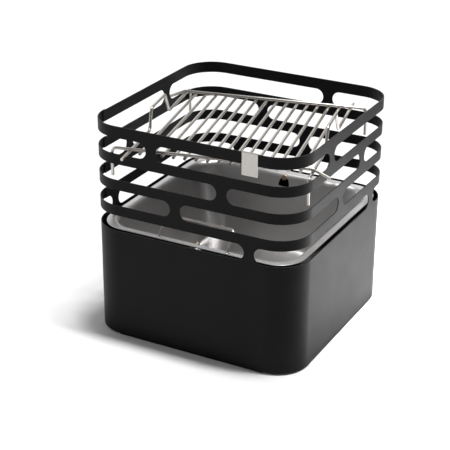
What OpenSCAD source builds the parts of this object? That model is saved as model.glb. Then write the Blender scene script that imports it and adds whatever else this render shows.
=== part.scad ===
// Garden fire pit: a square ring basket of powder-coated sheet, a tilting
// steel fire bowl hung on two studs, and a wire cooking grate hooked in its top slot.
// Origin: centre of the footprint, on the ground. +Z up, -Y is the front with the tag.

/* [Basket] */
// Outside width and depth of the basket
basket_w = 437; // [400:1:480]
// Outside radius of the basket's upright corners
corner_r = 64; // [50:1:80]
// Thickness of the basket sheet
sheet_t = 2; // [1.5:0.1:3]
// Height of the solid wall below the slots
solid_h = 223; // [215:1:230]
// Height of each open slot
slot_h = 31.5; // [28:0.5:33]
// Height of the three lower ring bands
ring_h = 20.5; // [18:0.5:24]
// Height of the top ring band
top_ring_h = 22.5; // [20:0.5:26]
// Width of a web between two slot ends, at its narrowest
web_w = 20; // [14:1:26]
// Width of the folded flange under each straight wall
flange_w = 16; // [10:1:25]

/* [Tag] */
// Width of the folded tag
tag_w = 31.5; // [25:0.5:40]
// Height of the tag's front leaf
tag_h = 43; // [35:1:50]
// Thickness of the tag sheet
tag_t = 1.2; // [0.8:0.1:2]
// Distance of the tag's middle from the basket's middle
tag_x = 124; // [100:1:130]

/* [Fire bowl] */
// Gap between the bowl's rim and the basket wall
rim_gap = 7.5; // [6:0.5:12]
// Width of the flat part of the rim
rim_w = 10; // [8:0.5:14]
// Thickness of the bowl sheet
bowl_t = 2; // [1.5:0.1:2.5]
// Half width of the bowl's inside at the foot of its rolled rim
bowl_top = 188; // [180:1:190]
// Half width of the bowl's inside at its floor
bowl_floor = 137; // [125:1:140]
// Height of the top of the bowl's floor above the ground
bowl_floor_z = 71; // [70:1:100]
// Diameter of the stud's shank that the bowl hangs on
stud_d = 8; // [6:0.5:8]
// Diameter of the stud's head
stud_head_d = 12; // [10:0.5:14]
// Radial play of the stud in the bowl's keyhole
stud_play = 0.08; // [0.02:0.01:0.1]
// Diameter of the bail wire on the bowl's rim
bail_d = 4; // [3:0.5:5]
// Half width of the bail
bail_x = 72; // [50:1:90]

/* [Cooking grate] */
// Turn of the hooked grate, seen from above
grate_turn = 12.3; // [11:0.1:12.3]
// Distance from the middle to each of the four frame rods
frame_d = 172.5; // [168:0.5:172.5]
// Diameter of the frame rods
frame_rod_d = 6; // [5:0.5:6]
// Diameter of the cross rods
cross_rod_d = 6; // [5:0.5:6]
// Number of cross rods
cross_count = 15; // [15:1:15]
// Distance between two cross rods
cross_pitch = 21.5; // [20:0.5:22]
// Height of the carrying loops above the side rods
loop_h = 41.5; // [35:0.5:45]

/* [Hidden] */
$fn = 64;

half_w = basket_w / 2;
wall_in = half_w - sheet_t;
period = slot_h + ring_h;
basket_h = solid_h + 4 * slot_h + 3 * ring_h + top_ring_h;
// The sheet closes in a lap at the left wall's front end: the front corner swings out by
// a sheet's thickness there and covers the end of the left wall, which stops at seam_y
seam_y = -158;
lap_r = corner_r + sheet_t;
lap_at = [-half_w + corner_r, -half_w + lap_r];
lap_end = -148;
// Distance of each slot's web from its wall's middle, from the lowest slot up
web_at = [124, -28.5, 67.5, -78];
// How far a slot's cutting body stops short of each web, in and out from the wall
web_reach = 10;
// Top edge of the highest ring that the grate hooks onto
hook_z = solid_h + 3 * period;
through = 1;

// The studs sit at half height, so the basket can stand either way up
pivot_z = basket_h / 2;
rim_half = wall_in - rim_gap;
rim_z = solid_h;
cove_w = rim_half - rim_w - bowl_top;
cove_h = 8.5;
bowl_corner_r = 46;
rim_corner_r = 55;
// Slices round the bowl's floor bend: how far out, corner radius and how far up
floor_bend = [[0, 22, 0], [8, 30, 2.5], [13.5, 36, 9], [16.5, 40, 18]];
slice_t = 0.01;
cove_z = rim_z - bowl_t - cove_h;
// Half width of the keyhole's wide part, and its depth below the stud
key_w = 12.5;
key_h = 20;
head_gap = 1.2;
head_t = 2.5;
bail_y = rim_half - 4;
bail_rise = 33;
bail_lean = 33;
bail_bend = 9;
// How far the bail's feet sink into the rim
bail_weld = 0.6;

grate_gap = 0.3;
weld = 0.2;
rod_r = frame_rod_d / 2;
cross_r = cross_rod_d / 2;
side_z = hook_z + grate_gap + rod_r;
main_z = side_z + 2 * rod_r - weld;
cross_z = main_z - rod_r - cross_r + weld;
leg_at = -205.5;
leg_z = 333;
// Feet and shoulders of the two carrying loops, along their side rods
right_loop = [-66, -47, 27, 56];
left_loop = [-65, -40, 42, 54];
hook_bend = frame_d + 0.8;
hook_tip = 205;
hook_slope = 0.455;
side_tip = 212;
rod_bend = 8;
// Sides of a wire, and the largest turn between two straight stretches of its bends
wire_sides = 16;
bend_step = 15;
cross_len = 2 * frame_d + 9;

// A square with rounded corners, centred
module round_square(half, r) {
    square([2 * half, 2 * (half - r)], center = true);
    square([2 * (half - r), 2 * half], center = true);
    for (x = [-1, 1], y = [-1, 1])
        translate([x * (half - r), y * (half - r)]) circle(r = r);
}

// A thin slice of that square, for hull() to join
module slice(half, r, z) {
    translate([0, 0, z]) linear_extrude(slice_t) round_square(half, r, $fn = 32);
}

function step_angle(a, b) = atan2(b[1] - a[1], b[0] - a[0]);
function turn_at(p, i) = i == 0 || i == len(p) - 1 ? 0 :
    let (t = step_angle(p[i], p[i + 1]) - step_angle(p[i - 1], p[i]))
    t > 180 ? t - 360 : t < -180 ? t + 360 : t;

// The points that round off corner i of the route p, at most bend_step degrees apart
function corner_points(p, i, bend) = let (
    turn = turn_at(p, i), side = sign(turn), heading = step_angle(p[i - 1], p[i]),
    steps = ceil(abs(turn) / bend_step),
    start = p[i] - bend * tan(abs(turn) / 2) * [cos(heading), sin(heading)],
    centre = start + side * bend * [-sin(heading), cos(heading)])
    [for (k = [0 : steps]) let (a = heading + turn * k / steps) centre + side * bend * [sin(a), -cos(a)]];
function rounded(p, bend) = concat([p[0]], [for (i = [1 : len(p) - 2]) each corner_points(p, i, bend)],
    [p[len(p) - 1]]);

// Ring of points round the wire at point i of its route, on the mitre plane there
function mitre_ring(p, i, r) = let (
    half_turn = turn_at(p, i) / 2,
    heading = i == 0 ? step_angle(p[0], p[1]) : step_angle(p[i - 1], p[i]) + half_turn)
    [for (k = [0 : wire_sides - 1]) let (
        a = 360 * k / wire_sides, out = r * cos(a) / cos(half_turn))
        [p[i][0] - out * sin(heading), p[i][1] + out * cos(heading), r * sin(a)]];

// A round wire that follows the points p in the XY plane, with rounded bends
module wire(p, r, bend) {
    route = rounded(p, bend);
    last = len(route) - 1;
    polyhedron(
        points = [for (i = [0 : last]) each mitre_ring(route, i, r)],
        faces = concat(
            [[for (k = [0 : wire_sides - 1]) k]],
            [for (i = [0 : last - 1], k = [0 : wire_sides - 1]) let (n = (k + 1) % wire_sides)
                [i * wire_sides + k, (i + 1) * wire_sides + k, (i + 1) * wire_sides + n, i * wire_sides + n]],
            [[for (k = [wire_sides - 1 : -1 : 0]) last * wire_sides + k]]));
}

// The web between two slot ends: its sides are hollow where the slots end round
module web_profile() {
    difference() {
        square([web_w + slot_h, slot_h + 2 * through], center = true);
        for (side = [-1, 1]) translate([side * (web_w + slot_h) / 2, 0]) circle(d = slot_h);
    }
}

// Everything that slot number level cuts away, right round the basket
module slot_cut(level) {
    z = solid_h + level * period;
    difference() {
        translate([-basket_w, -basket_w, z]) cube([2 * basket_w, 2 * basket_w, slot_h]);
        for (quarter = [0 : 3]) rotate(90 * quarter)
            translate([web_at[level], -wall_in + web_reach, z + slot_h / 2])
                rotate([90, 0, 0]) linear_extrude(2 * web_reach) web_profile();
    }
}

// Outside of the rolled sheet, with the lap standing out at the left
module outer_outline() {
    round_square(half_w, corner_r);
    translate(lap_at) circle(r = lap_r);
    translate([-half_w - sheet_t, lap_at[1]]) square([2 * sheet_t, lap_end - lap_at[1]]);
}

// Inside of the rolled sheet, which steps out past the end of the left wall
module inner_outline() {
    round_square(wall_in, corner_r - sheet_t);
    intersection() {
        translate(lap_at) circle(r = lap_r - sheet_t);
        translate([-half_w - corner_r, seam_y - 2 * corner_r]) square(2 * corner_r);
    }
}

// Sheet basket: solid wall below, four ring bands above, a folded flange under each wall
module basket_shell() {
    color([0.05, 0.05, 0.055]) union() {
        difference() {
            translate([0, 0, sheet_t]) linear_extrude(basket_h - sheet_t) outer_outline();
            translate([0, 0, -through]) linear_extrude(basket_h + 2 * through) inner_outline();
            for (level = [0 : 3]) slot_cut(level);
        }
        for (quarter = [0 : 3]) rotate(90 * quarter)
            translate([-half_w + corner_r, -half_w, 0]) cube([basket_w - 2 * corner_r, flange_w, sheet_t]);
    }
}

// Plain tag folded over the top ring
module tag_plate() {
    color([0.78, 0.75, 0.72]) translate([tag_x - tag_w / 2, -half_w, basket_h]) {
        translate([0, -tag_t, -tag_h]) cube([tag_w, tag_t, tag_h + tag_t]);
        translate([0, sheet_t, -tag_h / 2]) cube([tag_w, tag_t, tag_h / 2 + tag_t]);
        translate([0, -tag_t, 0]) cube([tag_w, sheet_t + 2 * tag_t, tag_t]);
    }
}

// Headed stud on the back wall; the front one is its mirror image
module pivot_stud() {
    head_y = bowl_top - head_gap;
    translate([0, wall_in, pivot_z]) rotate([90, 0, 0]) {
        cylinder(h = wall_in - head_y + head_t, d = stud_d);
        translate([0, 0, wall_in - head_y]) cylinder(h = head_t, d = stud_head_d);
    }
}

module pivot_stud_back() {
    color([0.62, 0.57, 0.52]) pivot_stud();
}

module pivot_stud_front() {
    color([0.62, 0.57, 0.52]) mirror([0, 1, 0]) pivot_stud();
}

// The bowl's tapered body; grow is 0 for the inside and the sheet for the outside
module bowl_body(grow, top) {
    hull() {
        for (s = floor_bend) slice(bowl_floor + s[0] + grow, s[1], bowl_floor_z + s[2] - grow);
        slice(bowl_top + grow, bowl_corner_r, cove_z);
    }
    hull() {
        slice(bowl_top + grow, bowl_corner_r, cove_z - slice_t);
        slice(bowl_top + cove_w / 5 + grow, bowl_corner_r + 1, cove_z + cove_h / 2);
        slice(bowl_top + cove_w + grow / 2, bowl_corner_r + 6, top);
    }
}

// Right half of the keyhole's opening below the stud
function key_half(r) = [[r, 0], [r, -2], [key_w - 3.5, -5], [key_w, 2 - key_h], [key_w - 2, -key_h]];

// Keyhole in the bowl's end walls: round over the stud, wide below for its head
module keyhole() {
    r = stud_d / 2 + stud_play;
    half = key_half(r);
    translate([0, 0, pivot_z]) rotate([90, 0, 0]) {
        cylinder(h = basket_w, r = r, center = true);
        linear_extrude(basket_w, center = true)
            polygon(concat(half, [for (i = [len(half) - 1 : -1 : 0]) [-half[i][0], half[i][1]]]));
    }
}

module fire_bowl() {
    color([0.6, 0.6, 0.6]) difference() {
        union() {
            bowl_body(bowl_t, rim_z - bowl_t);
            translate([0, 0, rim_z - bowl_t]) linear_extrude(bowl_t) round_square(rim_half, rim_corner_r);
        }
        bowl_body(0, rim_z + 2 * slice_t);
        keyhole();
    }
}

// Wire bail on the front rim, leaning over the bowl
module bowl_bail() {
    slant = norm([bail_rise, bail_lean]);
    color([0.8, 0.77, 0.74]) translate([0, -bail_y, rim_z])
        rotate([atan2(bail_rise, bail_lean), 0, 0])
            wire([[-bail_x, -bail_weld], [-bail_x, slant], [bail_x, slant], [bail_x, -bail_weld]],
                bail_d / 2, bail_bend);
}

// Places a wire in the upright plane of one side of the grate
module grate_side(quarter) {
    rotate(grate_turn + 90 * quarter) translate([0, -frame_d, 0]) rotate([90, 0, 0]) children();
}

// Front and back rods: a leg at one end and a sloping hook at the other
module main_rod() {
    wire([[leg_at, leg_z], [leg_at, main_z], [hook_bend, main_z],
        [hook_tip, main_z - hook_slope * (hook_tip - hook_bend)]], rod_r, rod_bend);
}

// Side rods: a leg, a raised carrying loop and a straight end that rests on the ring
module side_rod(loop) {
    top_z = side_z + loop_h;
    wire([[leg_at, leg_z], [leg_at, side_z], [loop[0], side_z], [loop[1], top_z],
        [loop[2], top_z], [loop[3], side_z], [side_tip, side_z]], rod_r, rod_bend);
}

module grate_front_rod() {
    color([0.8, 0.77, 0.74]) grate_side(0) main_rod();
}

module grate_right_rod() {
    color([0.8, 0.77, 0.74]) grate_side(1) side_rod(right_loop);
}

module grate_back_rod() {
    color([0.8, 0.77, 0.74]) grate_side(2) main_rod();
}

module grate_left_rod() {
    color([0.8, 0.77, 0.74]) grate_side(3) side_rod(left_loop);
}

// Cross rod number i, counted from the left
module cross_rod(i) {
    color([0.82, 0.79, 0.76]) rotate(grate_turn)
        translate([(i - (cross_count + 1) / 2) * cross_pitch, cross_len / 2, cross_z])
            rotate([90, 0, 0]) cylinder(h = cross_len, r = cross_r, $fn = 32);
}

basket_shell();
tag_plate();
pivot_stud_front();
pivot_stud_back();
fire_bowl();
bowl_bail();
grate_front_rod();
grate_right_rod();
grate_back_rod();
grate_left_rod();
cross_rod(1);  // cross_rod_01
cross_rod(2);  // cross_rod_02
cross_rod(3);  // cross_rod_03
cross_rod(4);  // cross_rod_04
cross_rod(5);  // cross_rod_05
cross_rod(6);  // cross_rod_06
cross_rod(7);  // cross_rod_07
cross_rod(8);  // cross_rod_08
cross_rod(9);  // cross_rod_09
cross_rod(10);  // cross_rod_10
cross_rod(11);  // cross_rod_11
cross_rod(12);  // cross_rod_12
cross_rod(13);  // cross_rod_13
cross_rod(14);  // cross_rod_14
cross_rod(15);  // cross_rod_15
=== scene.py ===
import math

import bpy
import numpy as np
from mathutils import Matrix, Vector


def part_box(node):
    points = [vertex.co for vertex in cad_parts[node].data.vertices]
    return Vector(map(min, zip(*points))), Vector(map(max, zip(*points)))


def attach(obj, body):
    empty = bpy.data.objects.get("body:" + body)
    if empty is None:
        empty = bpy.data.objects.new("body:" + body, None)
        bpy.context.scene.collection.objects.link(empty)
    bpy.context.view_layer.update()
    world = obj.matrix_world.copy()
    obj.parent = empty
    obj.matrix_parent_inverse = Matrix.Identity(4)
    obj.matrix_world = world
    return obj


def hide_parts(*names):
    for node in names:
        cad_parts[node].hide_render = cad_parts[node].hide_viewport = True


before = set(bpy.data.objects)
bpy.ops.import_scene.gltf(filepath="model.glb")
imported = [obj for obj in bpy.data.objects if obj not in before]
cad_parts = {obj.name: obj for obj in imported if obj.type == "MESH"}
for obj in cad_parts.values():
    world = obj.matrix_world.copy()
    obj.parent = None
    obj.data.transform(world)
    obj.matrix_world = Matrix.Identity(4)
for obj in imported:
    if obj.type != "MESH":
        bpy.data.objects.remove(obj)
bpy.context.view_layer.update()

MM = 0.001
Z = Vector((0, 0, 1))

# ---------------------------------------------------------------- sizes
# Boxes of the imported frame
SHELL_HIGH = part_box("basket_shell")[1]
BOWL_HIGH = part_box("fire_bowl")[1]
TAG_LOW, TAG_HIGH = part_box("tag_plate")
MAIN_LOW, MAIN_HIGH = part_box("grate_front_rod")
SIDE_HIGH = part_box("grate_right_rod")[1]

# Basket: its sheet, the corners of its plan, and its slots and rings from the wall upwards
HALF = SHELL_HIGH.x
SHELL_TOP = SHELL_HIGH.z
SHEET = 2 * MM
CORNER = 64 * MM
WALL_TOP = 223 * MM
SLOT = 31.5 * MM
RING = 20.5 * MM
LEVELS = 4
# Webs between the rings: their width, and their middle on each wall, from the lowest slot up
WEB = 20 * MM
WEB_AT = [124 * MM, -28.5 * MM, 67.5 * MM, -78 * MM]
# Foot flange under each flat wall, and the outer radius of its fold
FLANGE = 16 * MM
FOLD_R = 3 * MM

# Fire bowl and the studs it hangs on
PIVOT_Z = 0.5 * SHELL_TOP
RIM_HALF = BOWL_HIGH.x
RIM_Z = BOWL_HIGH.z

# Grate: its turn from the basket, and its frame rods by their middle lines
TURN = math.radians(12.3)
FRAME_D = 172.5 * MM
ROD_R = 3 * MM
MAIN_Z = MAIN_HIGH.z - ROD_R
SIDE_Z = MAIN_Z - 2 * ROD_R + 0.2 * MM
LOOP_Z = SIDE_HIGH.z - ROD_R
LEG_AT = -205.5 * MM
LEG_Z = MAIN_LOW.z
HOOK_SLOPE = 0.455
# Foot, two shoulders and foot of each carrying loop, along its side
RIGHT_LOOP = [-66 * MM, -47 * MM, 27 * MM, 56 * MM]
LEFT_LOOP = [-65 * MM, -40 * MM, 42 * MM, 54 * MM]
BEND = 9.5 * MM
CROSS_RODS = 15
# How far a wire's softly cut end stands past the end of its route
CUT = 0.5 * MM


# ---------------------------------------------------------------- mesh helpers
def new_piece(name, verts, faces, normals=None, **attributes):
    """A mesh object, smooth, with per-vertex attributes and normals where they are given."""
    mesh = bpy.data.meshes.new(name)
    mesh.from_pydata([tuple(v) for v in verts], [], faces)
    mesh.update()
    mesh.polygons.foreach_set("use_smooth", [True] * len(mesh.polygons))
    for key, values in attributes.items():
        vector = hasattr(values[0], "__len__")
        layer = mesh.attributes.new(key, "FLOAT_VECTOR" if vector else "FLOAT", "POINT")
        flat = np.array([tuple(v) if vector else v for v in values], np.float32).ravel()
        layer.data.foreach_set("vector" if vector else "value", flat)
    if normals is not None:
        mesh.normals_split_custom_set_from_vertices([tuple(n) for n in normals])
    obj = bpy.data.objects.new(name, mesh)
    bpy.context.scene.collection.objects.link(obj)
    return obj


def border_edges(faces):
    """Edges that belong to one face only, in that face's direction."""
    directed = set()
    for f in faces:
        directed.update(zip(f, f[1:] + f[:1]))
    return [(a, b) for a, b in sorted(directed) if (b, a) not in directed]


def border_shifts(points, border, least=0.7):
    """The mitred step of each border point for one unit outwards, held back at sharp corners."""
    outward = {}
    for a, b in border:
        ds, dz = points[b][0] - points[a][0], points[b][1] - points[a][1]
        length = math.hypot(ds, dz)
        for i in (a, b):
            outward.setdefault(i, []).append((dz / length, -ds / length))
    shift = {}
    for i, sides in outward.items():
        n = Vector((sum(s[0] for s in sides), sum(s[1] for s in sides)))
        n.normalize()
        shift[i] = n / max(least, n.dot(Vector(sides[0])))
    return shift


def sheet_piece(name, points, faces, place, thick, edge_r, steps=3):
    """Bent sheet metal with rounded cut edges.
    points and faces are its flat pattern, and place(s, z) gives the outer face's point, its
    normal and the two directions of the pattern there."""
    border = border_edges(faces)
    shift = border_shifts(points, border)
    verts, normals, edge = [], [], []

    def add(i, out, depth, tilt, face):
        s, z = points[i]
        e2 = shift.get(i)
        if e2 is not None:
            s, z = s + e2.x * out, z + e2.y * out
        p, n, es, ez = place(s, z)
        verts.append(p - n * depth)
        normal = n * (face * math.cos(tilt))
        if e2 is not None:
            normal = normal + (es * e2.x + ez * e2.y).normalized() * math.sin(tilt)
        normals.append(normal.normalized())
        edge.append(math.sin(tilt))
        return len(verts) - 1

    outer = [add(i, -edge_r, 0, 0, 1) for i in range(len(points))]
    inner = [add(i, -edge_r, thick, 0, -1) for i in range(len(points))]
    rings = [{i: outer[i] for i in shift}]
    tilts = [math.pi / 2 * k / steps for k in range(1, steps + 1)]
    for face, order in ((1, tilts), (-1, tilts[::-1])):
        for tilt in order:
            depth = edge_r * (1 - math.cos(tilt))
            depth = depth if face > 0 else thick - depth
            out = edge_r * (math.sin(tilt) - 1)
            rings.append({i: add(i, out, depth, tilt, face) for i in shift})
    rings.append({i: inner[i] for i in shift})
    built = [[outer[i] for i in f] for f in faces]
    built += [[inner[i] for i in reversed(f)] for f in faces]
    for low, high in zip(rings, rings[1:]):
        built += [[low[b], low[a], high[a], high[b]] for a, b in border]
    return new_piece(name, verts, built, normals, edge=edge)


def fillet(route, bend, fine=math.radians(6)):
    """The corners of a route of points rounded to the radius bend."""
    out = [route[0]]
    for before, here, after in zip(route, route[1:], route[2:]):
        a, b = (before - here).normalized(), (after - here).normalized()
        turn = math.pi - a.angle(b)
        if turn < 1e-4:
            out.append(here)
            continue
        reach = bend * math.tan(turn / 2)
        centre = here + (a + b).normalized() * (bend / math.cos(turn / 2))
        first, last = here + a * reach - centre, here + b * reach - centre
        axis = first.cross(last).normalized()
        steps = max(2, math.ceil(turn / fine))
        out += [centre + Matrix.Rotation(turn * k / steps, 3, axis) @ first
                for k in range(steps + 1)]
    return out + [route[-1]]


def split_long(route, longest):
    """The route with extra points, so that no stretch is longer than that."""
    out = [route[0]]
    for a, b in zip(route, route[1:]):
        n = max(1, math.ceil((b - a).length / longest))
        out += [a.lerp(b, k / n) for k in range(1, n + 1)]
    return out


def wire_mesh(route, r, chamfer=CUT, sides=20):
    """Vertices, faces, normals and grain of a round wire with softly cut ends."""
    tangents = []
    for i in range(len(route)):
        a, b = route[max(i - 1, 0)], route[min(i + 1, len(route) - 1)]
        tangents.append((b - a).normalized())
    side = tangents[0].orthogonal().normalized()
    rings, along = [], 0.0
    for i, (p, t) in enumerate(zip(route, tangents)):
        if i:
            turn = tangents[i - 1].rotation_difference(t)
            side = (turn @ side).normalized()
            along += (p - route[i - 1]).length
        rings.append((p, t, side.copy(), r, 0.0, along))
    ends = []
    for (p, t, s, _, _, d), sign in ((rings[0], -1), (rings[-1], 1)):
        cap = []
        for k in range(1, 4):
            a = math.pi / 2 * k / 3
            cap.append((p + t * sign * chamfer * math.sin(a), t, s,
                        r - chamfer * (1 - math.cos(a)), sign * a, d))
        cap.append((p + t * sign * chamfer, t, s, 0.35 * r, sign * math.pi / 2, d))
        ends.append(cap)
    rings = ends[0][::-1] + rings + ends[1]
    verts, normals, grain, faces = [], [], [], []
    for p, t, s, radius, tilt, d in rings:
        up = t.cross(s)
        for k in range(sides):
            a = 2 * math.pi * k / sides
            out = s * math.cos(a) + up * math.sin(a)
            verts.append(p + out * radius)
            normals.append((out * math.cos(tilt) + t * math.sin(tilt)).normalized())
            grain.append((d, r * math.cos(a), r * math.sin(a)))
    for i in range(len(rings) - 1):
        for k in range(sides):
            n = (k + 1) % sides
            faces.append([i * sides + k, i * sides + n, (i + 1) * sides + n, (i + 1) * sides + k])
    faces.append(list(range(sides))[::-1])
    faces.append([(len(rings) - 1) * sides + k for k in range(sides)])
    return verts, faces, normals, grain


def bead_mesh(centre, axes, around=12, rows=7):
    """A small weld bead: an ellipsoid with the three half axes given."""
    verts, normals, faces = [], [], []
    for j in range(1, rows):
        a = math.pi * j / rows
        for k in range(around):
            b = 2 * math.pi * k / around
            unit = Vector((math.sin(a) * math.cos(b), math.sin(a) * math.sin(b), math.cos(a)))
            verts.append(centre + axes @ unit)
            normals.append((axes.inverted().transposed() @ unit).normalized())
    for j in range(rows - 2):
        for k in range(around):
            n = (k + 1) % around
            faces.append([j * around + k, (j + 1) * around + k, (j + 1) * around + n, j * around + n])
    for sign, row in ((1, 0), (-1, rows - 2)):
        verts.append(centre + axes @ Vector((0, 0, sign)))
        normals.append((axes.inverted().transposed() @ Vector((0, 0, sign))).normalized())
        tip = len(verts) - 1
        for k in range(around):
            n = (k + 1) % around
            a, b = row * around + k, row * around + n
            faces.append([a, b, tip] if sign > 0 else [b, a, tip])
    return verts, faces, normals


def wire_piece(name, route, r, beads=(), heat_reach=9 * MM):
    """A wire with its weld beads as one piece. The heat attribute is 1 at a bead."""
    verts, faces, normals, grain = wire_mesh(route, r)
    for centre, axes in beads:
        v, f, n = bead_mesh(centre, axes)
        start = len(verts)
        verts += v
        normals += n
        faces += [[start + i for i in face] for face in f]
        grain += [tuple(p - centre) for p in v]
    heat = [max([0.0] + [1 - (v - c).length / heat_reach for c, _ in beads]) for v in verts]
    return new_piece(name, verts, faces, normals, grain=grain, heat=heat)


# ---------------------------------------------------------------- basket
FLAT = HALF - CORNER
ARC = math.pi / 2 * CORNER
QUARTER = 2 * FLAT + ARC
# The sheet closes in a lap: it starts outside the left wall, LAP out, and ends inside at SEAM
LAP = SHEET + 0.15 * MM
LAP_START = 150.5 * MM
SEAM = 158 * MM


def wall_frame(s, z):
    """The basket's outer face at the distance s round it, and its fold under each flat wall."""
    q, x = divmod(s + FLAT, QUARTER)
    x -= FLAT
    lap = LAP if q < 0 else 0.0
    spin = Matrix.Rotation(math.pi / 2 * q, 3, "Z")
    if x <= FLAT:
        p, n, t = Vector((x - lap, -HALF - lap, 0)), Vector((0, -1, 0)), Vector((1, 0, 0))
    else:
        a = (x - FLAT) / CORNER
        n = Vector((math.sin(a), -math.cos(a), 0))
        t = Vector((math.cos(a), math.sin(a), 0))
        p = Vector((FLAT - lap, -FLAT, 0)) + n * (CORNER + lap)
    p, n, t = spin @ p, spin @ n, spin @ t
    if z >= FOLD_R:
        return p + Z * z, n, t, Z
    run = FOLD_R - z
    a = min(run / FOLD_R, math.pi / 2)
    normal, up = n * math.cos(a) - Z * math.sin(a), Z * math.cos(a) + n * math.sin(a)
    flat_run = max(0.0, run - FOLD_R * math.pi / 2)
    point = p - n * (FOLD_R + flat_run) + Z * FOLD_R
    return point + normal * FOLD_R, normal, t, up


def shell_columns(web_steps=8, arc_steps=18, gap=3 * MM):
    """Distances round one quarter at which the pattern has a line of vertices."""
    reach = (WEB + SLOT) / 2
    hard = [-FLAT, FLAT] + [c + side * reach for c in WEB_AT for side in (-1, 1)]
    hard += [FLAT + ARC * k / arc_steps for k in range(1, arc_steps)]
    soft = [c + reach * (2 * k / web_steps - 1) for c in WEB_AT for k in range(1, web_steps)]
    # A few more lines keep the faces of the flat wall short
    soft += [-FLAT + 12 * MM, 0, FLAT - 12 * MM, -125 * MM, 25 * MM]
    kept = sorted(hard)
    for x in soft:
        if min(abs(x - y) for y in kept) > gap:
            kept.append(x)
    return sorted(kept)


def row_faces(low, high):
    """Quads between two rows of points of equal length."""
    return [[low[k], low[k + 1], high[k + 1], high[k]] for k in range(len(low) - 1)]


def shell_bands():
    """Heights of the rows of points up the lower wall and up each ring."""
    bands = [[FOLD_R, 12 * MM, 60 * MM, 115 * MM, 170 * MM, 212 * MM, WALL_TOP]]
    for level in range(1, LEVELS + 1):
        z = WALL_TOP + level * SLOT + (level - 1) * RING
        top = SHELL_TOP if level == LEVELS else z + RING
        bands.append([z, z + 0.3 * (top - z), z + 0.7 * (top - z), top])
    return bands


def add_flanges(points, faces, foot, starts, local):
    """The foot flange under each flat wall, hung from the lowest row of the wall."""
    end = FOLD_R - FOLD_R * math.pi / 2 - (FLANGE - FOLD_R)
    fold = [FOLD_R * (1 - math.pi / 2 * k / 5) for k in (1, 2, 3, 4, 5)] + [0.5 * end, end]
    flat = [k for k, x in enumerate(local) if x <= FLAT + 1e-9]
    for first in starts:
        last = [foot[first + k] for k in flat]
        for z in fold:
            row = list(range(len(points), len(points) + len(flat)))
            points += [(points[foot[first + k]][0], z) for k in flat]
            faces += row_faces(row, last)
            last = row


def add_webs(points, faces, below, above, starts, local, level, steps=12):
    """One waisted web on each wall, between the row below a slot and the row above it."""
    reach, middle = (WEB + SLOT) / 2, WEB_AT[level]
    z_mid = points[below[0]][1] + SLOT / 2
    mine = [k for k, x in enumerate(local) if abs(x - middle) <= reach + 1e-7]
    for q, first in enumerate(starts):
        last = [below[first + k] for k in mine]
        for j in range(1, steps + 1):
            a = math.pi * (j / steps - 0.5)
            width = reach - SLOT / 2 * math.cos(a)
            if j == steps:
                row = [above[first + k] for k in mine]
            else:
                row = list(range(len(points), len(points) + len(mine)))
                points += [(q * QUARTER + middle + (local[k] - middle) / reach * width,
                            z_mid + SLOT / 2 * math.sin(a)) for k in mine]
            faces += row_faces(last, row)
            last = row


def shell_pattern():
    """Flat pattern of the slotted basket: points and faces, from its lap round to its seam."""
    local = shell_columns()
    head = [LAP_START - QUARTER] + [x - QUARTER for x in local if x > LAP_START]
    cols = head + [q * QUARTER + x for q in range(4) for x in local if q < 3 or x < SEAM]
    cols.append(3 * QUARTER + SEAM)
    starts = [len(head) + q * len(local) for q in range(4)]
    points, faces, ids = [], [], []
    for rows in shell_bands():
        ids.append([])
        for z in rows:
            ids[-1].append(list(range(len(points), len(points) + len(cols))))
            points += [(s, z) for s in cols]
        for low, high in zip(ids[-1], ids[-1][1:]):
            faces += row_faces(low, high)
    add_flanges(points, faces, ids[0][0], starts, local)
    for level in range(LEVELS):
        add_webs(points, faces, ids[level][-1], ids[level + 1][0], starts, local, level)
    return points, faces


def build_shell():
    """The basket's sheet, bent round its plan from the flat pattern."""
    points, faces = shell_pattern()
    return sheet_piece("basket_wall", points, faces, wall_frame, SHEET, 0.45 * MM)


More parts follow.
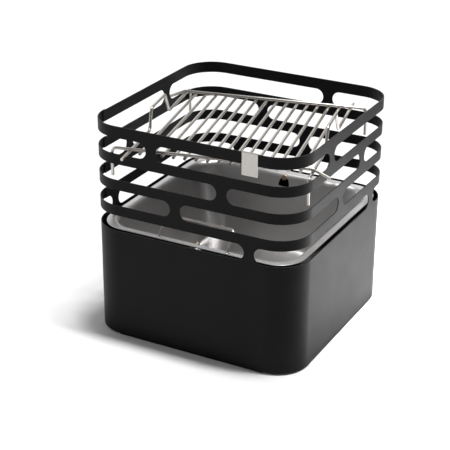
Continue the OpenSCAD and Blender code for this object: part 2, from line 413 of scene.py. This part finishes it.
# ---------------------------------------------------------------- tag
def build_tag():
    """Satin strip folded over the top ring, with small rounded corners."""
    sheet, r = 1.2 * MM, 1.3 * MM
    width, middle = TAG_HIGH.x - TAG_LOW.x, 0.5 * (TAG_LOW.x + TAG_HIGH.x)
    front, top = TAG_LOW.y, TAG_HIGH.z
    drop, back_drop = TAG_HIGH.z - TAG_LOW.z - r, 21.5 * MM
    deep = TAG_HIGH.y - TAG_LOW.y
    bend = math.pi / 2 * r
    lengths = [drop, bend, deep - 2 * r, bend, back_drop]
    marks = [sum(lengths[:k]) for k in range(6)]

    def place(x, a):
        """Up the front, over the ring and down the back, at the distance a from the low end."""
        base = Vector((middle + x, front, top - r))
        side = Vector((1, 0, 0))
        if a <= marks[1]:
            return base + Z * (a - marks[1]), Vector((0, -1, 0)), side, Z
        turn = 0.0 if a >= marks[2] else (a - marks[1]) / r
        if a < marks[2]:
            n = Vector((0, -math.cos(turn), math.sin(turn)))
            return base + Vector((0, r, 0)) + n * r, n, side, Vector((0, math.sin(turn), math.cos(turn)))
        if a <= marks[3]:
            return base + Vector((0, r + a - marks[2], r)), Z, side, Vector((0, 1, 0))
        far = base + Vector((0, deep - r, 0))
        if a < marks[4]:
            turn = (a - marks[3]) / r
            n = Vector((0, math.sin(turn), math.cos(turn)))
            return far + n * r, n, side, Vector((0, math.cos(turn), -math.sin(turn)))
        return far + Vector((0, r, marks[4] - a)), Vector((0, 1, 0)), side, -Z

    soft, steps = 1.6 * MM, 5
    arc = [math.pi / 2 * k / steps for k in range(steps + 1)]
    rows = [(soft * (1 - math.cos(a)), soft * (1 - math.sin(a))) for a in arc]
    levels = rows + [(marks[1] * k / 6, 0) for k in range(1, 7)]
    levels += [(marks[1] + bend * k / 5, 0) for k in range(1, 6)]
    levels += [(marks[2] + lengths[2] * k / 2, 0) for k in (1, 2)]
    levels += [(marks[3] + bend * k / 5, 0) for k in range(1, 6)]
    levels += [(marks[4] + back_drop * k / 4, 0) for k in range(1, 4)]
    levels += [(marks[5] - z, inset) for z, inset in rows[::-1]]
    levels = sorted(set((round(z, 7), round(i, 7)) for z, i in levels))
    shares = [-1, -0.6, -0.2, 0.2, 0.6, 1]
    points = [(f * (width / 2 - inset), z) for z, inset in levels for f in shares]
    n = len(shares)
    faces = [[r0 * n + k, r0 * n + k + 1, (r0 + 1) * n + k + 1, (r0 + 1) * n + k]
             for r0 in range(len(levels) - 1) for k in range(n - 1)]
    return sheet_piece("folded_tag", points, faces, place, sheet, 0.25 * MM)


# ---------------------------------------------------------------- studs
def lathe_piece(name, profile, axis_point, axis, around=48):
    """A turned piece: profile is (distance along the axis, radius) from one end to the other."""
    side = axis.orthogonal().normalized()
    up = axis.cross(side)
    verts, faces = [], []
    for d, radius in profile:
        for k in range(around):
            a = 2 * math.pi * k / around
            verts.append(axis_point + axis * d + (side * math.cos(a) + up * math.sin(a)) * radius)
    for i in range(len(profile) - 1):
        for k in range(around):
            n = (k + 1) % around
            faces.append([i * around + k, i * around + n, (i + 1) * around + n, (i + 1) * around + k])
    faces.append(list(range(around))[::-1])
    faces.append([(len(profile) - 1) * around + k for k in range(around)])
    obj = new_piece(name, verts, faces)
    obj.data.set_sharp_from_angle(angle=math.radians(40))
    return obj


def build_stud(node, sign):
    """Headed stud on the front wall (sign -1) or the back wall (sign 1), pointing inwards."""
    low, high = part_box(node)
    wall = max(abs(low.y), abs(high.y))
    tip = min(abs(low.y), abs(high.y))
    length, head_r = wall - tip, 0.5 * (high.z - low.z)
    shank, head = 4 * MM, 2.5 * MM
    edge = 0.45 * MM
    seat = length - head
    # The shank, the head's rounded back and front edges, and its dished face
    profile = [(0, shank), (0.6 * MM, shank), (seat - 0.3 * MM, shank), (seat, shank + 0.2 * MM)]
    profile += [(seat, head_r - edge)]
    profile += [(seat + edge * (1 - math.cos(a)), head_r - edge + edge * math.sin(a))
                for a in (math.pi / 6, math.pi / 3, math.pi / 2)]
    profile += [(length - 2 * edge + 2 * edge * math.sin(a), head_r - 2 * edge * (1 - math.cos(a)))
                for a in (0, math.pi / 8, math.pi / 4, 3 * math.pi / 8)]
    dish = 0.35 * MM
    profile += [(length, head_r - 2.2 * edge), (length, 0.62 * head_r), (length - dish, 0.52 * head_r),
                (length - dish, 0.2 * head_r), (length - 0.4 * dish, 0.12 * head_r),
                (length - 0.4 * dish, 0.03 * head_r)]
    return lathe_piece(f"{node}_turned", profile, Vector((0, sign * wall, PIVOT_Z)),
                       Vector((0, -sign, 0)))


# ---------------------------------------------------------------- fire bowl
# The bowl's inside in mm, as (half width, corner radius, height): the rounded foot, and the
# control points of the cove that turns the slanted wall out into the flat rim
BOWL_FOOT = [(129, 17, 71), (137, 22, 71.2), (145, 30, 73.6), (150.6, 36, 80.2), (153.6, 40, 89)]
BOWL_COVE = [(188, 46, 212.5), (189.3, 47, 217.2), (193, 50, 223), (199.5, 52, 223)]
RIM_CORNER = 55 * MM
BOWL_SHEET = 2 * MM


def curve(points, steps):
    """Smooth curve through the points (Catmull-Rom), each a tuple of numbers."""
    pts = [np.array(p, float) for p in points]
    pts = [2 * pts[0] - pts[1]] + pts + [2 * pts[-1] - pts[-2]]
    out = []
    for a, b, c, d in zip(pts, pts[1:], pts[2:], pts[3:]):
        for k in range(steps):
            t = k / steps
            out.append(0.5 * (2 * b + (c - a) * t + (2 * a - 5 * b + 4 * c - d) * t * t
                              + (3 * b - a - 3 * c + d) * t ** 3))
    return out + [pts[-2]]


def bezier(points, t):
    """The point at t, from 0 to 1, of the cubic curve with these four control points."""
    a, b, c, d = (np.array(p, float) for p in points)
    u = 1 - t
    return u ** 3 * a + 3 * t * u ** 2 * b + 3 * t * t * u * c + t ** 3 * d


def bowl_profile():
    """Rows (half width, corner radius, height) of the bowl's inside, from the floor to the rim."""
    low, high = np.array(BOWL_FOOT[-1]), np.array(BOWL_COVE[0])
    rows = curve(BOWL_FOOT, 4)
    rows += [low * (1 - k / 5) + high * (k / 5) for k in range(1, 5)]
    rows += [bezier(BOWL_COVE, k / 10) for k in range(11)]
    return [r * MM for r in rows]


def bowl_rows():
    """Rows all round the bowl's sheet: up its inside, over the rim and down its outside."""
    inner = bowl_profile()
    outer = []
    for i, row in enumerate(inner):
        a, b = inner[max(i - 1, 0)], inner[min(i + 1, len(inner) - 1)]
        d = np.array((b[0] - a[0], b[2] - a[2]))
        d /= np.linalg.norm(d)
        outer.append(row + np.array((d[1], d[1], -d[0])) * BOWL_SHEET)
    edge_r, lip = BOWL_SHEET / 2, []
    for k in range(9):
        a = math.pi / 2 - math.pi * k / 8
        lip.append(np.array((RIM_HALF - edge_r + edge_r * math.cos(a), RIM_CORNER,
                             RIM_Z - edge_r + edge_r * math.sin(a))))
    half, corner, height = BOWL_FOOT[0]
    floor = [np.array((f * half, corner * (0.5 + 0.5 * f), height)) * MM for f in (0.12, 0.4, 0.7, 0.9)]
    floor_out = [r - np.array((0, 0, BOWL_SHEET)) for r in floor]
    return floor + inner + lip + outer[::-1] + floor_out[::-1]


def loop_points(half, corner, z, flat_steps=10, arc_steps=14):
    """A rounded square, counter-clockwise from above."""
    out, flat = [], half - corner
    for q in range(4):
        spin = Matrix.Rotation(math.pi / 2 * q, 3, "Z")
        for k in range(flat_steps):
            out.append(spin @ Vector((-flat + 2 * flat * k / flat_steps, -half, z)))
        for k in range(arc_steps):
            a = math.pi / 2 * k / arc_steps
            out.append(spin @ Vector((flat + corner * math.sin(a), -flat - corner * math.cos(a), z)))
    return out


def keyhole_cutter():
    """The prism that cuts the keyhole through the front and back walls, and reaches past them."""
    r = 4.15 * MM
    outline = [(r * math.cos(a), r * math.sin(a)) for a in np.linspace(0, math.pi, 25)]
    # The keyhole's flared lower half in mm from the pivot, left side, from the top down
    flare = [(-4.15, -2.6), (-8.6, -4.4), (-10.2, -7.5), (-12.3, -16.2), (-11.7, -18.9), (-9.3, -20)]
    outline += [(x * MM, z * MM) for x, z in flare] + [(-x * MM, z * MM) for x, z in flare[::-1]]
    n, far = len(outline), 0.26
    verts = [Vector((x, y, PIVOT_Z + z)) for y in (-far, far) for x, z in outline]
    faces = [[k, (k + 1) % n, n + (k + 1) % n, n + k] for k in range(n)]
    faces += [list(range(n))[::-1], [n + k for k in range(n)]]
    return new_piece("keyhole_cutter", verts, [f[::-1] for f in faces])


def build_bowl():
    """The bowl's sheet as one closed surface, with the two keyholes cut through it."""
    rows = bowl_rows()
    loops = [loop_points(*r) for r in rows]
    n = len(loops[0])
    verts = [p for loop in loops for p in loop]
    faces = []
    for i in range(len(loops) - 1):
        for k in range(n):
            m = (k + 1) % n
            faces.append([i * n + k, (i + 1) * n + k, (i + 1) * n + m, i * n + m])
    for row, flip in ((0, False), (len(loops) - 1, True)):
        ring = [row * n + k for k in range(n)]
        faces.append(ring[::-1] if flip else ring)
    bowl = new_piece("bowl_sheet", verts, faces)
    cutter = keyhole_cutter()
    cut = bowl.modifiers.new("keyholes", "BOOLEAN")
    cut.operation, cut.object, cut.solver = "DIFFERENCE", cutter, "EXACT"
    depsgraph = bpy.context.evaluated_depsgraph_get()
    mesh = bpy.data.meshes.new_from_object(bowl.evaluated_get(depsgraph))
    bowl.modifiers.clear()
    bowl.data = mesh
    bpy.data.objects.remove(cutter)
    mesh.polygons.foreach_set("use_smooth", [True] * len(mesh.polygons))
    mesh.set_sharp_from_angle(angle=math.radians(38))
    return bowl


# ---------------------------------------------------------------- wires
def build_bail():
    """A wire loop on the bowl's front rim, leaning inwards, with a weld bead at each foot."""
    y, half, slant, bend = -205 * MM, 72 * MM, 46.67 * MM, 10 * MM
    lean = Vector((0, math.sqrt(0.5), math.sqrt(0.5)))
    foot = Vector((0, y, RIM_Z))
    corners = [(-half, 0), (-half, slant), (half, slant), (half, 0)]
    route = [foot + Vector((x, 0, 0)) + lean * d for x, d in corners]
    route = split_long(fillet(route, bend), 12 * MM)
    axes = Matrix.Diagonal((3.4 * MM, 3.6 * MM, 1.5 * MM))
    beads = [(foot + Vector((x, 0.6 * MM, 0.2 * MM)), axes) for x in (-half, half)]
    return wire_piece("bail_wire", route, 2 * MM, beads, heat_reach=34 * MM)


def side_point(quarter, s, z):
    """A point of the upright plane of one side of the grate."""
    return Matrix.Rotation(TURN + math.pi / 2 * quarter, 3, "Z") @ Vector((s, -FRAME_D, z))


def weld_axes(quarter, along, across, tall):
    """Half axes of a weld bead, turned with one side of the grate."""
    spin = Matrix.Rotation(TURN + math.pi / 2 * quarter, 3, "Z")
    return spin @ Matrix.Diagonal((along, across, tall))


def build_frame_rod(name, quarter, corners, beads=()):
    """A bent rod of one side of the grate, cut back so that its soft ends keep its length."""
    route = [side_point(quarter, s, z) for s, z in corners]
    route[0] += (route[1] - route[0]).normalized() * CUT
    route[-1] += (route[-2] - route[-1]).normalized() * CUT
    return wire_piece(name, split_long(fillet(route, BEND), 15 * MM), ROD_R, beads)


def side_corners(loop):
    """Route of a side rod: leg, raised carrying loop and straight end."""
    return [(LEG_AT, LEG_Z), (LEG_AT, SIDE_Z), (loop[0], SIDE_Z), (loop[1], LOOP_Z),
            (loop[2], LOOP_Z), (loop[3], SIDE_Z), (212 * MM, SIDE_Z)]


def build_grate_rods():
    """The four frame rods, each with the name of its node. The side rods carry the welds."""
    tip_s, bend_s = 205 * MM, FRAME_D + 0.8 * MM
    main = [(LEG_AT, LEG_Z), (LEG_AT, MAIN_Z), (bend_s, MAIN_Z),
            (tip_s, MAIN_Z - HOOK_SLOPE * (tip_s - bend_s))]
    weld_z = 0.5 * (SIDE_Z + MAIN_Z)
    rods = []
    for node, quarter, corners in (("grate_front_rod", 0, main),
                                   ("grate_right_rod", 1, side_corners(RIGHT_LOOP)),
                                   ("grate_back_rod", 2, main),
                                   ("grate_left_rod", 3, side_corners(LEFT_LOOP))):
        beads = []
        if quarter % 2:
            for s in (-FRAME_D, FRAME_D):
                axes = weld_axes(quarter, 3.2 * MM, 3.2 * MM, 1.5 * MM)
                beads.append((side_point(quarter, s, weld_z), axes))
        rods.append((build_frame_rod(node + "_wire", quarter, corners, beads), node))
    return rods


def build_cross_rod(node):
    """A straight rod that spans its CAD box, with a weld bead over the front and back rods."""
    low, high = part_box(node)
    middle, r = 0.5 * (low + high), 0.5 * (high.z - low.z)
    length = (high.y - low.y - 2 * r * math.sin(TURN)) / math.cos(TURN)
    along = Matrix.Rotation(TURN, 3, "Z") @ Vector((0, 1, 0))
    end = along * (length / 2 - CUT)
    weld = Vector((0, 0, r - 0.1 * MM))
    beads = [(middle + weld + along * (side * FRAME_D), weld_axes(0, 2.7 * MM, 2.9 * MM, 1.1 * MM))
             for side in (-1, 1)]
    route = split_long([middle - end, middle + end], 12 * MM)
    return wire_piece(node + "_wire", route, r, beads, heat_reach=7 * MM)


# ---------------------------------------------------------------- materials
class Nodes:
    """Short ways to add shader nodes to one material."""

    def __init__(self, name):
        self.material = bpy.data.materials.new(name)
        self.material.use_nodes = True
        self.tree = self.material.node_tree
        self.shader = self.tree.nodes["Principled BSDF"]

    def add(self, kind, **settings):
        node = self.tree.nodes.new("ShaderNode" + kind)
        for key, value in settings.items():
            setattr(node, key, value)
        return node

    def link(self, source, target):
        self.tree.links.new(source, target)

    def place(self, stretch=(1, 1, 1), attribute=None):
        """Object coordinates, or a mesh attribute, scaled along each axis."""
        mapping = self.add("Mapping")
        mapping.inputs["Scale"].default_value = stretch
        if attribute:
            source = self.add("Attribute", attribute_name=attribute).outputs["Vector"]
        else:
            source = self.add("TexCoord").outputs["Object"]
        self.link(source, mapping.inputs["Vector"])
        return mapping.outputs["Vector"]

    def noise(self, vector, scale, detail=3.0, rough=0.5):
        """Soft noise from 0 to 1, mostly between 0.3 and 0.7."""
        node = self.add("TexNoise")
        node.inputs["Scale"].default_value = scale
        node.inputs["Detail"].default_value = detail
        node.inputs["Roughness"].default_value = rough
        self.link(vector, node.inputs["Vector"])
        return node.outputs["Fac"]

    def span(self, value, low, high, from_low=0.3, from_high=0.7):
        """The value stretched so that from_low gives low and from_high gives high."""
        node = self.add("MapRange")
        for key, number in (("From Min", from_low), ("From Max", from_high),
                            ("To Min", low), ("To Max", high)):
            node.inputs[key].default_value = number
        self.link(value, node.inputs["Value"])
        return node.outputs["Result"]

    def math(self, how, a, b):
        node = self.add("Math", operation=how)
        for socket, value in zip(node.inputs, (a, b)):
            if isinstance(value, (int, float)):
                socket.default_value = value
            else:
                self.link(value, socket)
        return node.outputs["Value"]

    def blend(self, factor, a, b):
        """Colour a where factor is 0 and b where it is 1."""
        node = self.add("Mix", data_type="RGBA")
        self.link(factor, node.inputs["Factor"])
        for socket, value in ((node.inputs[6], a), (node.inputs[7], b)):
            if isinstance(value, tuple):
                socket.default_value = (*value, 1)
            else:
                self.link(value, socket)
        return node.outputs[2]

    def bump(self, height, strength, distance, under=None):
        """The normal of a relief, distance metres deep where height is 1, laid over another."""
        node = self.add("Bump")
        node.inputs["Strength"].default_value = strength
        node.inputs["Distance"].default_value = distance
        self.link(height, node.inputs["Height"])
        if under is not None:
            self.link(under, node.inputs["Normal"])
        return node.outputs["Normal"]

    def finish(self, color, roughness, normal, **constants):
        """Links up the shader and sets its constant sockets, with _ for a space in their names."""
        self.link(color, self.shader.inputs["Base Color"])
        self.link(roughness, self.shader.inputs["Roughness"])
        self.link(normal, self.shader.inputs["Normal"])
        for key, value in constants.items():
            self.shader.inputs[key.replace("_", " ")].default_value = value
        return self.material


def powder_coat():
    """Black coating with a fine orange peel, and a painted highlight that makes its rounded edges a
    little paler.
    """
    m = Nodes("black_powder_coat")
    at = m.place()
    mottle = m.noise(at, 14, 4)
    peel = m.noise(at, 1300, 3, 0.55)
    edge = m.add("Attribute", attribute_name="edge").outputs["Fac"]
    # Painted highlight: the coat is paler and smoother along the rounded edges, standing for their sheen
    painted_edge_sheen = m.math("MULTIPLY", edge, m.span(m.noise(at, 90, 5, 0.6), 0.25, 1.0))
    color = m.blend(m.span(mottle, 0, 1), (0.0036, 0.0036, 0.0039), (0.0058, 0.0058, 0.0062))
    color = m.blend(painted_edge_sheen, color, (0.018, 0.018, 0.019))
    rough = m.math("ADD", m.span(peel, 0.42, 0.5), m.span(mottle, -0.03, 0.03))
    rough = m.math("SUBTRACT", rough, m.math("MULTIPLY", painted_edge_sheen, 0.1))
    normal = m.bump(peel, 0.22, 0.00008, m.bump(m.noise(at, 16, 1), 0.05, 0.0006))
    return m.finish(color, rough, normal, IOR=1.2)


def wire_steel():
    """Bright wire with lines along its grain, browned near the welds."""
    m = Nodes("drawn_wire_steel")
    drawn = m.place((18, 2600, 2600), "grain")
    at = m.place()
    lines = m.noise(drawn, 1, 3, 0.6)
    patch = m.noise(at, 60, 3)
    heat = m.add("Attribute", attribute_name="heat").outputs["Fac"]
    color = m.blend(m.span(patch, 0, 1), (0.47, 0.44, 0.41), (0.56, 0.53, 0.5))
    burnt = m.math("MULTIPLY", heat, m.span(m.noise(at, 350, 3), 0.5, 1.0))
    color = m.blend(burnt, color, (0.16, 0.115, 0.075))
    rough = m.math("ADD", m.span(lines, 0.24, 0.34), m.math("MULTIPLY", heat, 0.12))
    normal = m.bump(lines, 0.06, 0.00003, m.bump(m.noise(at, 160, 2), 0.05, 0.0001))
    return m.finish(color, rough, normal, Metallic=1.0)


def bowl_steel():
    """Satin sheet with faint lines round it, soft clouds and a slight wave."""
    m = Nodes("satin_bowl_steel")
    rolled = m.place((25, 25, 2200))
    at = m.place()
    lines = m.noise(rolled, 1, 4, 0.65)
    cloud = m.noise(at, 9, 4, 0.55)
    fine = m.noise(at, 1500, 2)
    color = m.blend(m.span(cloud, 0, 1), (0.425, 0.42, 0.42), (0.49, 0.48, 0.475))
    rough = m.math("ADD", m.span(lines, 0.3, 0.4), m.span(cloud, -0.03, 0.04))
    wavy = m.bump(m.noise(at, 7, 2), 0.25, 0.0022)
    normal = m.bump(fine, 0.12, 0.00005, m.bump(lines, 0.1, 0.00005, wavy))
    return m.finish(color, rough, normal, Metallic=1.0)


def tag_steel():
    """Brushed strip with upright lines."""
    m = Nodes("brushed_tag_steel")
    brush = m.noise(m.place((2600, 2600, 45)), 1, 4, 0.65)
    at = m.place()
    color = m.blend(m.span(brush, 0, 1), (0.44, 0.425, 0.4), (0.54, 0.52, 0.495))
    rough = m.math("ADD", m.span(brush, 0.3, 0.44), m.span(m.noise(at, 80, 3), -0.03, 0.03))
    normal = m.bump(brush, 0.3, 0.00005)
    return m.finish(color, rough, normal, Metallic=1.0)


def stud_steel():
    """Turned steel with rings round the pivot, coloured warm brown as a painted reflection."""
    m = Nodes("turned_stud_steel")
    split = m.add("SeparateXYZ")
    m.link(m.place(), split.inputs["Vector"])
    up = m.math("SUBTRACT", split.outputs["Z"], PIVOT_Z)
    square = m.math("ADD", m.math("MULTIPLY", split.outputs["X"], split.outputs["X"]),
                    m.math("MULTIPLY", up, up))
    radius = m.math("POWER", square, 0.5)
    wave = m.math("SINE", m.math("MULTIPLY", radius, 2 * math.pi / (0.45 * MM)), 0.0)
    patch = m.noise(m.place(), 420, 3)
    # Painted reflection: the warm brown stands for an orange-brown reflection on the heads
    color = m.blend(m.span(patch, 0, 1), (0.36, 0.275, 0.185), (0.5, 0.4, 0.28))
    rough = m.math("ADD", m.span(wave, 0.26, 0.34, -1, 1), m.span(patch, -0.03, 0.05))
    normal = m.bump(wave, 0.25, 0.00006, m.bump(patch, 0.15, 0.0001))
    return m.finish(color, rough, normal, Metallic=1.0)


def dress(obj, material, slot, body, *nodes):
    """Gives a piece its material and its body, and hides what it stands for. The slot argument is not
    used.
    """
    obj.data.materials.clear()
    obj.data.materials.append(material)
    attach(obj, body)
    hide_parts(*nodes)


# ---------------------------------------------------------------- stage
# A row of soft suns overhead: their tilts to the right, then the tilt to the back, the
# strength and the width that they share. Tilts and widths are in degrees
KEY_TILTS = (4, 7.5, 11, 14.5, 18)
KEY_BACK_TILT = 4.5
KEY_STRENGTH = 0.69
KEY_WIDTH = 4.5
# The spot on the floor: its direction from the middle, clockwise from the back, and its power
POOL_AZIMUTH = math.radians(50)
POOL_POWER = 2600
# The room's even level, and its patches: azimuth clockwise from the back and elevation in
# degrees, sharpness and strength
ROOM_LEVEL = 0.13
ROOM_PATCHES = ((225, 15, 8.0, 0.35), (270, 15, 8.0, 1.5), (333, 26, 9.0, 1.3))


def build_floor():
    """A pale matt floor, wide enough to reach the horizon."""
    mesh = bpy.data.meshes.new("studio_floor")
    half = 60.0
    mesh.from_pydata([(-half, -half, 0), (half, -half, 0), (half, half, 0), (-half, half, 0)], [],
                     [[0, 1, 2, 3]])
    floor = bpy.data.objects.new("studio_floor", mesh)
    bpy.context.scene.collection.objects.link(floor)
    m = Nodes("pale_floor")
    tone = m.noise(m.place(), 3, 2)
    color = m.blend(m.span(tone, 0, 1), (0.8, 0.8, 0.8), (0.81, 0.81, 0.81))
    m.link(color, m.shader.inputs["Base Color"])
    m.shader.inputs["Roughness"].default_value = 0.9
    m.shader.inputs["Specular IOR Level"].default_value = 0.1
    mesh.materials.append(m.material)


def add_sun(name, tilt_x, tilt_y, strength, angle):
    """Parallel light from above, tilted to the right and to the back. Angles are in degrees."""
    light = bpy.data.lights.new(name, "SUN")
    light.energy, light.angle = strength, math.radians(angle)
    obj = bpy.data.objects.new(name, light)
    toward = Vector((math.tan(math.radians(tilt_x)), math.tan(math.radians(tilt_y)), 1))
    obj.rotation_mode = "QUATERNION"
    obj.rotation_quaternion = toward.to_track_quat("Z", "Y")
    obj.location = toward * 3
    bpy.context.scene.collection.objects.link(obj)


def add_floor_pool(azimuth, power):
    """A high spotlight on the floor beside the basket, which the right wall mirrors."""
    light = bpy.data.lights.new("floor_pool", "SPOT")
    height, reach, radius = 4.0, 0.55, 0.6
    light.energy, light.shadow_soft_size = power, 0.15
    light.spot_size, light.spot_blend = 2 * math.atan(radius / height), 1.0
    obj = bpy.data.objects.new("floor_pool", light)
    out = Vector((math.sin(azimuth), math.cos(azimuth), 0)) * reach
    obj.location = out / 2 + Z * height
    obj.rotation_mode = "QUATERNION"
    obj.rotation_quaternion = (obj.location - out).to_track_quat("Z", "Y")
    obj.visible_camera = False
    bpy.context.scene.collection.objects.link(obj)


def build_world():
    """A dim room with soft bright patches. Seen past the floor it is plain white."""
    world = bpy.data.worlds.new("soft_studio")
    bpy.context.scene.world = world
    world.use_nodes = True
    tree = world.node_tree
    back = tree.nodes["Background"]
    coord = tree.nodes.new("ShaderNodeTexCoord")

    def math_node(how, a, b):
        node = tree.nodes.new("ShaderNodeMath")
        node.operation = how
        tree.links.new(a, node.inputs[0])
        if isinstance(b, (int, float)):
            node.inputs[1].default_value = b
        else:
            tree.links.new(b, node.inputs[1])
        return node.outputs["Value"]

    total = None
    for azimuth, elevation, sharp, strength in ROOM_PATCHES:
        turn, up = math.radians(azimuth), math.radians(elevation)
        dot = tree.nodes.new("ShaderNodeVectorMath")
        dot.operation = "DOT_PRODUCT"
        tree.links.new(coord.outputs["Generated"], dot.inputs[0])
        dot.inputs[1].default_value = (math.sin(turn) * math.cos(up), math.cos(turn) * math.cos(up),
                                       math.sin(up))
        patch = math_node("MAXIMUM", dot.outputs["Value"], 0.0)
        patch = math_node("MULTIPLY", math_node("POWER", patch, sharp), strength)
        total = patch if total is None else math_node("ADD", total, patch)
    total = math_node("ADD", total, ROOM_LEVEL)
    seen = tree.nodes.new("ShaderNodeLightPath").outputs["Is Camera Ray"]
    tree.links.new(math_node("MAXIMUM", total, seen), back.inputs["Strength"])
    back.inputs["Color"].default_value = (1, 1, 1, 1)


def build_lights():
    """The key suns, the floor's spot and the room."""
    for k, tilt in enumerate(KEY_TILTS):
        add_sun(f"key_{k}", tilt, KEY_BACK_TILT, KEY_STRENGTH, KEY_WIDTH)
    add_floor_pool(POOL_AZIMUTH, POOL_POWER)
    build_world()


def build_camera():
    """The camera looks at the pivot from the front right. Its focal length, and the offsets
    that move the pivot off the picture's middle, are in picture widths."""
    azimuth, elevation, roll = math.radians(27.1), math.radians(23.859), math.radians(-0.731)
    distance, focal = 2.57994, 2.906298
    off_x, off_y = -0.0397578, 0.0361111
    back = Vector((math.sin(azimuth) * math.cos(elevation),
                   -math.cos(azimuth) * math.cos(elevation), math.sin(elevation)))
    side = Z.cross(back).normalized()
    axes = Matrix((side, back.cross(side), back))
    aim = Matrix.Rotation(roll, 3, "Z") @ Matrix.Rotation(math.atan(off_y / focal), 3, "X")
    aim = aim @ Matrix.Rotation(math.atan(off_x / focal), 3, "Y") @ axes
    data = bpy.data.cameras.new("camera")
    data.sensor_width = 36
    data.lens = data.sensor_width * focal
    camera = bpy.data.objects.new("camera", data)
    eye = Vector((0, 0, PIVOT_Z)) + back * distance
    camera.matrix_world = Matrix.Translation(eye) @ aim.transposed().to_4x4()
    bpy.context.scene.collection.objects.link(camera)
    bpy.context.scene.camera = camera


# ---------------------------------------------------------------- put together
coat, wire, satin, brushed, turned = powder_coat(), wire_steel(), bowl_steel(), tag_steel(), stud_steel()
dress(build_shell(), coat, "black_coating", "basket", "basket_shell")
dress(build_tag(), brushed, "tag_steel", "basket", "tag_plate")
dress(build_stud("pivot_stud_front", -1), turned, "stud_steel", "basket", "pivot_stud_front")
dress(build_stud("pivot_stud_back", 1), turned, "stud_steel", "basket", "pivot_stud_back")
dress(build_bowl(), satin, "bowl_steel", "bowl", "fire_bowl")
dress(build_bail(), wire, "wire_steel", "bowl", "bowl_bail")
for rod, node in build_grate_rods():
    dress(rod, wire, "wire_steel", "grate", node)
for number in range(1, CROSS_RODS + 1):
    node = f"cross_rod_{number:02d}"
    dress(build_cross_rod(node), wire, "wire_steel", "grate", node)

build_floor()
build_lights()
build_camera()
bpy.context.scene.view_settings.view_transform = "Standard"
